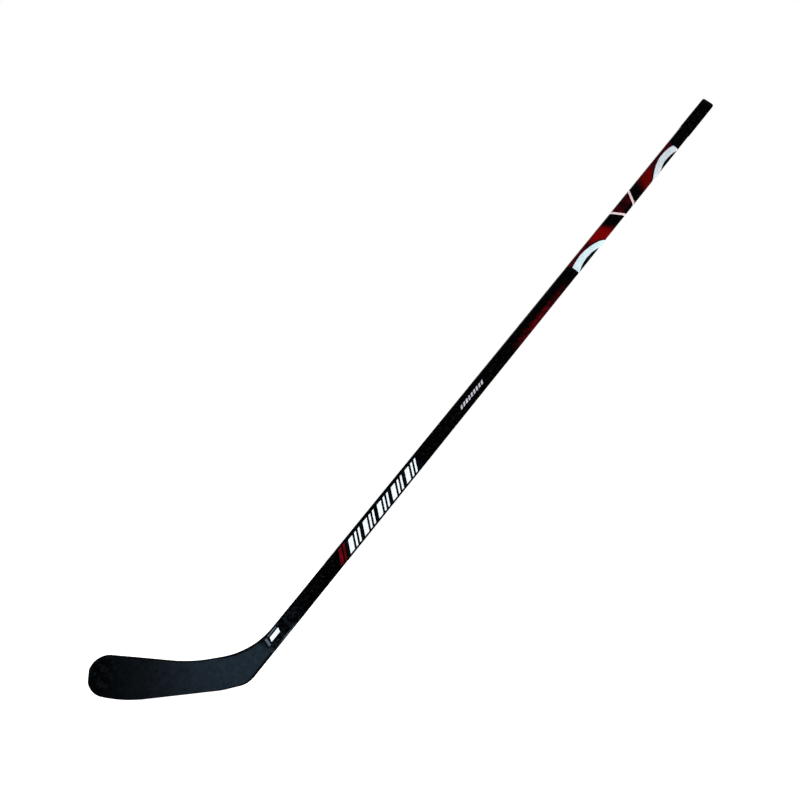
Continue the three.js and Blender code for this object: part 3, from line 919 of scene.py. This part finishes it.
def butt_cap():
    """The flange with a rounded rim and a dished end, and the ribbed tang inside the shaft."""
    root = PLUG_FIT + PLUG_RIB
    hollow = root + PLUG_TANG_WALL
    tang_end = PLUG_BASE - PLUG_TANG
    top = PLUG_BASE + PLUG_FLANGE
    rows = [(PLUG_BASE - 4, hollow), (tang_end, hollow), (tang_end, root + 0.8)]
    rows += [(tang_end + 1, root + 0.25), (tang_end + 3, root)]
    for rib in np.arange(tang_end + 7, PLUG_BASE - PLUG_RIB_PITCH / 2, PLUG_RIB_PITCH):
        rows += [(rib, root), (rib + 0.4, PLUG_FIT + 0.1), (rib + 0.9, PLUG_FIT)]
        rows += [(rib + 3.1, PLUG_FIT), (rib + 3.6, PLUG_FIT + 0.1), (rib + 4, root)]
    rows += [(PLUG_BASE, root), (PLUG_BASE, -SLEEVE_OUTER + 0.3), (PLUG_BASE + 0.3, -SLEEVE_OUTER)]
    for angle in np.radians(np.arange(0, 91, 15)):
        rows.append((
            top - PLUG_EDGE + PLUG_EDGE * math.sin(angle),
            -SLEEVE_OUTER + PLUG_EDGE * (1 - math.cos(angle)),
        ))
    rows += [(top, 3.2), (top - 0.15, 3.5), (top - 0.6, 3.75), (top - 0.7, 4.2)]
    rings = [ring(shaft_section(u), inset) for u, inset in rows]
    shape = Body()
    shape.grid(rings, lays_of(rings, [u for u, _ in rows]))
    shape.cap(rings[0])
    shape.cap(rings[-1])
    shape.build("butt_cap", PLUG_PLASTIC, BUTT_END, ["butt_plug"])


joint_wrap()
shaft()
grip_end()
butt_cap()

# ----------------------------------------------------------
# Printed shapes. A place on the shaft is u along its axis and v round it, from the middle of a
# wide face (v = 0) towards the heel side. Every shape is on the front and mirrored on the back.


def face_reach(u):
    """v where the flat part of the wide face ends, where the corner ends, and mid narrow side."""
    flat = shaft_width(u) / 2 - SHAFT_CORNER
    bend = flat + SHAFT_CORNER * math.pi / 2
    return flat, bend, bend + SHAFT_HALF_THICKNESS - SHAFT_CORNER


def print_point(u, v, lift, side):
    """The point (u, v) raised by lift, on the front where side is -1 or on the back."""
    flat, bend, _ = face_reach(u)
    way = math.copysign(1, v)
    size = abs(v)
    depth = SHAFT_HALF_THICKNESS
    if size <= flat:
        w, y = size, depth + lift
    elif size <= bend:
        angle = (size - flat) / SHAFT_CORNER
        w = flat + (SHAFT_CORNER + lift) * math.sin(angle)
        y = depth - SHAFT_CORNER + (SHAFT_CORNER + lift) * math.cos(angle)
    else:
        w, y = flat + SHAFT_CORNER + lift, depth - SHAFT_CORNER - (size - bend)
    x, z = shaft_plane(u, way * w)
    return np.array([x, side * y, z])


def girth_stops(u):
    """The values of v that a shape needs to follow the shaft's round corners."""
    flat, bend, quarter = face_reach(u)
    corner = np.linspace(flat, bend, CORNER_STEPS + 1)
    positive = np.concatenate([[0.0, flat / 2], corner, [(bend + quarter) / 2, quarter]])
    return np.concatenate([-positive[:0:-1], positive])


def curve(*knots):
    """A smooth line through knots (x, y) that doesn't overshoot them."""
    x = np.array([k[0] for k in knots], float)
    y = np.array([k[1] for k in knots], float)
    slope = np.diff(y) / np.diff(x)
    tangent = np.concatenate([[slope[0]], (slope[:-1] + slope[1:]) / 2, [slope[-1]]])
    for i in range(1, len(x) - 1):
        if slope[i - 1] * slope[i] <= 0:
            tangent[i] = 0.0
        else:
            tangent[i] = 2 * slope[i - 1] * slope[i] / (slope[i - 1] + slope[i])

    def value(at):
        i = int(np.clip(np.searchsorted(x, at) - 1, 0, len(x) - 2))
        step = x[i + 1] - x[i]
        t = np.clip((at - x[i]) / step, 0, 1)
        start = (1 + 2 * t) * (1 - t) ** 2 * y[i] + t * (1 - t) ** 2 * step * tangent[i]
        return start + t * t * (3 - 2 * t) * y[i + 1] + t * t * (t - 1) * step * tangent[i + 1]

    return value


# Past the middle of the narrow side, where every shape is cut off
FAR = 60.0


def band(start, end, low, high):
    """Rows of (u, v) from station start to end, between v = low(u) and v = high(u)."""
    rows = []
    for u in np.linspace(start, end, math.ceil((end - start) / FILM_STEP) + 1):
        stops = girth_stops(u)
        bottom = np.clip(low(u) if callable(low) else low, stops[0], stops[-1])
        top = np.clip(high(u) if callable(high) else high, bottom, stops[-1])
        rows.append([(u, v) for v in np.clip(stops, bottom, top)])
    return rows


def stripe(v_low, v_high, start, end):
    """Rows of (u, v) across the shaft from v_low to v_high, between u = start(v) and end(v)."""
    middle = (start(0.0) + end(0.0)) / 2
    stops = np.unique(np.clip(girth_stops(middle), v_low, v_high))
    return [[(u, v) for u in np.linspace(start(v), end(v), STRIPE_POINTS)] for v in stops]


def printed(name, shapes, level, material, replaces=()):
    """Thin films with these outlines, at a level of the print, on both wide faces."""
    base = FILM_LIFT + FILM_LEVEL * level
    body = Body()
    for side in (-1, 1):
        for rows in shapes:
            under, top = (
                [np.array([print_point(u, v, lift, side) for u, v in row]) for row in rows]
                for lift in (base, base + FILM_THICKNESS)
            )
            body.shell(top, under, rows)
    body.build(name, material, STICK, replaces)


# Lower mark: slanted bars on a navy ground, after a red pair.
MARK_SLANT = 0.8
MARK_LOW = -8.2
MARK_HIGH = 12.2


def slanted(foot, width, low=MARK_LOW, high=MARK_HIGH):
    """A bar from v = high, where it starts at station foot, leaning up the shaft to v = low."""
    return stripe(
        low, high,
        lambda v: foot + (high - v) * MARK_SLANT,
        lambda v: foot + width + (high - v) * MARK_SLANT,
    )


def bar_row(start, unit, count, pitch):
    """Bars given as (offset, width) in one unit, repeated."""
    return [
        slanted(start + i * pitch + offset, width)
        for i in range(count) for offset, width in unit
    ]


printed(
    "lower_mark_ground",
    [band(312, 542, curve((312, 13), (330, -10), (534, -10), (542, 2)), 13.4)],
    0, NAVY_INK, ["lower_graphic_film"],
)
printed(
    "lower_mark_bars",
    bar_row(318.6, [(0.0, 12.0), (17.4, 5.0), (27.8, 5.0)], 5, 42.9),
    1, WHITE_INK,
)
printed(
    "lower_mark_block",
    [slanted(290.0, 8.5, -11.0, 12.6), slanted(302.5, 5.0, -11.0, 12.6)],
    1, MARK_RED_INK,
)

# Middle mark: a short row of small bars.
printed(
    "middle_mark_bars",
    [slanted(674.5 + 8.4 * i, 5.4, -2.6, 3.9) for i in range(9)],
    0, SILVER_INK, ["mid_graphic_film"],
)

# Upper graphics: two white crescents that open to the heel side, with red and black between them.
LOWER_OUTER = curve(
    (1073, -3), (1088, -5.2), (1108, -6.4), (1134, -3),
    (1154, 3), (1167, 10), (1173, 15.5), (1180, 23),
)
LOWER_LENS = curve(
    (1070, 23), (1079, 14), (1088, 10.6), (1100, 8.4), (1112, 7.6),
    (1125, 8.4), (1137, 10.6), (1147, 14), (1156, 23),
)
UPPER_OUTER = curve(
    (1353, 23), (1360, 15.4), (1383, 3.2), (1403, -3.4),
    (1421, -6), (1437, -5.6), (1455, -2.8), (1464, 0.4),
)
UPPER_LENS = curve(
    (1384, 23), (1393, 14.4), (1402, 10.8), (1411, 8.8), (1422, 8),
    (1436, 8.8), (1449, 10.8), (1459, 14.4), (1468, 23),
)

printed(
    "crescents",
    [band(1073, 1179.5, LOWER_OUTER, FAR), band(1353.5, 1464, UPPER_OUTER, FAR)],
    1, CRESCENT_INK,
)
printed(
    "crescent_lenses",
    [band(1070.5, 1155.5, LOWER_LENS, FAR), band(1384.5, 1463.9, UPPER_LENS, FAR)],
    2, BLACK_INK,
)


PINSTRIPE_WIDTH = 6.2
FIRST_LINE = (1241.8, 0.62)
SECOND_LINE = (1294.0, -0.69)


def leaning_line(middle, slope, offset=0.0):
    """The station of a line across the shaft at each v; its middle is at v = 0."""
    return lambda v: middle + slope * v + offset


def pinstripe(line):
    """A line across a wide face, which wraps to the middle of both narrow sides."""
    half = PINSTRIPE_WIDTH / 2
    return stripe(-FAR, FAR, leaning_line(*line, -half), leaning_line(*line, half))


printed(
    "pinstripes",
    [pinstripe(FIRST_LINE), pinstripe(SECOND_LINE)],
    1, PALE_ROSE_INK,
)
printed(
    "maroon_field",
    [stripe(-FAR, 9.0, leaning_line(*FIRST_LINE), leaning_line(*SECOND_LINE))],
    0, MAROON_INK,
)
LOWER_RED_HIGH = curve(
    (1064, -23), (1070, -10), (1076, -3.6), (1088, -5.4), (1108, -6.6), (1134, -3.8),
    (1146, -2), (1156, 0.6), (1167, 6.6), (1173, 12), (1180, 19), (1184, 23),
)
LOWER_RED_LOW = curve((1188, -23), (1196, -13), (1208, 0), (1215, 12), (1222, 23))
UPPER_RED_LOW = curve((1306, 23), (1313, 12), (1322, 0), (1330, -12), (1339, -23))
UPPER_RED_HIGH = curve(
    (1343, 23), (1353, 14.8), (1360, 11.2), (1372, 4.8), (1383, -0.2), (1393, -2.6), (1404, -4),
    (1421, -6.2), (1437, -6), (1455, -3.2), (1462, -3.6), (1467, -9), (1471, -23),
)
printed(
    "red_fields",
    [
        band(1064, 1221.5, LOWER_RED_LOW, LOWER_RED_HIGH),
        band(1306.5, 1471, UPPER_RED_LOW, UPPER_RED_HIGH),
    ],
    0, FIELD_RED, ["upper_graphic_film"],
)

EMBER_LOW = curve(
    (812, 23), (820, 12), (835, 4), (860, -3), (900, -5),
    (960, -5), (1000, -3), (1040, 3), (1058, 12), (1066, 23),
)
printed("ember_wedge", [band(812, 1066, EMBER_LOW, FAR)], 0, EMBER_INK)


# A dark sticker on the front of the wrap, with grey bars and a white block. Each shape is given by
# its lowest and highest u and w, and how far its toe side leans up the shaft.
LABEL_BASE = (93.0, 131.0, -12.4, 3.6, 4.0)
LABEL_BARS = [(97.0, 101.8, -11.4, 2.8, 3.4), (108.0, 130.5, -12.0, -10.4, 0.8)]
LABEL_BLOCK = (106.2, 129.0, -7.2, 0.6, 3.4)
LABEL_LIFT = 0.01
LABEL_PRINT_LIFT = 0.09


def label_sheet(name, shapes, lift, material, replaces=()):
    """Flat shapes that stand on the wrap's front face, raised by lift."""
    wrap_face = -SHAFT_HALF_THICKNESS - WRAP_PROUD
    body = Body()
    for u_low, u_high, w_low, w_high, slant in shapes:
        corners = [
            [(u_low, w_high), (u_low + slant, w_low)],
            [(u_high, w_high), (u_high + slant, w_low)],
        ]
        under, top = (
            [np.array([[*shaft_plane(u, w), y] for u, w in row])[:, [0, 2, 1]] for row in corners]
            for y in (wrap_face - lift, wrap_face - (lift + LABEL_THICKNESS))
        )
        body.shell(top, under, corners)
    body.build(name, material, STICK, replaces)


label_sheet("hosel_label_base", [LABEL_BASE], LABEL_LIFT, NAVY_INK, ["hosel_label"])
label_sheet("hosel_label_bars", LABEL_BARS, LABEL_PRINT_LIFT, GREY_INK)
label_sheet("hosel_label_block", [LABEL_BLOCK], LABEL_PRINT_LIFT, WHITE_INK)

# ----------------------------------------------------------
# Pieces inside the stick keep their CAD shape

INSIDE = {
    "toe_insert": foam("dense_core", rgb(122, 84, 38), rgb(196, 150, 92), 1500.0, 0.00005),
    "top_edge_rail": raw_carbon(),
    "upper_foam_core": foam("core_foam", rgb(176, 152, 92), rgb(232, 214, 160), 900.0, 0.00012),
    "adhesive_sleeve": set_resin(),
}
INSIDE["heel_insert"] = INSIDE["toe_insert"]
for node in ("bottom_edge_rail", "mid_stringer", "hosel_tenon"):
    INSIDE[node] = INSIDE["top_edge_rail"]
for node in ("lower_foam_core", "tenon_core", "foam_stop"):
    INSIDE[node] = INSIDE["upper_foam_core"]
for node, material in INSIDE.items():
    for slot in frame["nodes"][node].material_slots:
        slot.material = material

# ----------------------------------------------------------
# Studio: a pale floor, a white surround that lights softly from above and the sides, and lamps

# The height where the surround starts to brighten and where it stops, and its light there
SURROUND_LIGHT = (0.25, 0.9, 0.25, 0.8)
MIRRORED_DIMMING = -0.95
FLOOR_HALF_SIZE = 9.0
FLOOR_GAP = 0.0003
FLOOR_GLOW = 0.92


def studio_world():
    """White to the camera, a soft light from above to the stick, and dim in its reflections."""
    world = bpy.data.worlds.new("studio")
    bpy.context.scene.world = world
    world.use_nodes = True
    world.node_tree.nodes.clear()
    sky = Nodes(world.node_tree)
    _, _, height = sky.parts(sky.node("ShaderNodeTexCoord").outputs["Generated"])
    ray = sky.node("ShaderNodeLightPath").outputs
    dimming = sky.scaled(ray["Is Glossy Ray"], MIRRORED_DIMMING, 1.0)
    soft = sky.node("ShaderNodeBackground")
    sky.feed(soft.inputs["Strength"], sky.times(sky.fade(height, *SURROUND_LIGHT), dimming))
    white = sky.node("ShaderNodeBackground")
    white.inputs["Color"].default_value = (1.0, 1.0, 1.0, 1.0)
    mix = sky.node("ShaderNodeMixShader")
    sides = (ray["Is Camera Ray"], soft.outputs[0], white.outputs[0])
    for socket, value in zip(mix.inputs, sides):
        sky.feed(socket, value)
    sky.feed(sky.node("ShaderNodeOutputWorld").inputs[0], mix.outputs[0])


def studio_floor():
    mesh = bpy.data.meshes.new("floor")
    size = FLOOR_HALF_SIZE
    mesh.from_pydata(
        [(-size, -size, 0), (size, -size, 0), (size, size, 0), (-size, size, 0)], [], [(0, 1, 2, 3)]
    )
    material = bpy.data.materials.new("floor")
    material.use_nodes = True
    surface = material.node_tree.nodes["Principled BSDF"]
    surface.inputs["Base Color"].default_value = (0.85, 0.85, 0.85, 1.0)
    surface.inputs["Roughness"].default_value = 0.9
    surface.inputs["Specular IOR Level"].default_value = 0.0
    surface.inputs["Emission Color"].default_value = (1.0, 1.0, 1.0, 1.0)
    surface.inputs["Emission Strength"].default_value = FLOOR_GLOW
    mesh.materials.append(material)
    floor = bpy.data.objects.new("floor", mesh)
    floor.location.z = cad_low.z - FLOOR_GAP
    floor.visible_glossy = False
    bpy.context.scene.collection.objects.link(floor)


def soft_lamp(name, place, aim, size, power, mirrored):
    """An area lamp; mirrored says whether it shows in reflections."""
    data = bpy.data.lights.new(name, "AREA")
    data.shape = "RECTANGLE"
    data.size, data.size_y = size
    data.energy = power
    lamp = bpy.data.objects.new(name, data)
    lamp.location = place
    lamp.visible_glossy = mirrored
    lamp.rotation_euler = (Vector(aim) - Vector(place)).to_track_quat("-Z", "Y").to_euler()
    bpy.context.scene.collection.objects.link(lamp)


middle = (cad_low + cad_high) / 2
studio_world()
studio_floor()
soft_lamp("lamp_left", middle + Vector((-2.8, -1.5, 1.3)), middle, (2.6, 2.6), 46.0, False)
soft_lamp("lamp_right", middle + Vector((2.9, -1.3, -0.1)), middle, (1.8, 1.8), 26.0, False)
soft_lamp("lamp_above", middle + Vector((-0.3, 0.9, 3.0)), middle, (2.6, 2.0), 34.0, True)

# ----------------------------------------------------------
# Camera

CAMERA_PLACE = Vector((0.37027, -1.19312, 0.23236))
CAMERA_PAN = 2.202
CAMERA_TILT = 13.065
CAMERA_ROLL = 6.062
CAMERA_LENS = 27.0

camera_data = bpy.data.cameras.new("camera")
camera_data.sensor_width = 36.0
camera_data.lens = CAMERA_LENS
camera = bpy.data.objects.new("camera", camera_data)
turn = Matrix.Rotation(math.radians(-CAMERA_PAN), 4, "Z")
turn = turn @ Matrix.Rotation(math.radians(90 + CAMERA_TILT), 4, "X")
turn = turn @ Matrix.Rotation(math.radians(-CAMERA_ROLL), 4, "Z")
camera.matrix_world = Matrix.Translation(CAMERA_PLACE) @ turn
bpy.context.scene.collection.objects.link(camera)
bpy.context.scene.camera = camera
bpy.context.scene.view_settings.view_transform = "Standard"
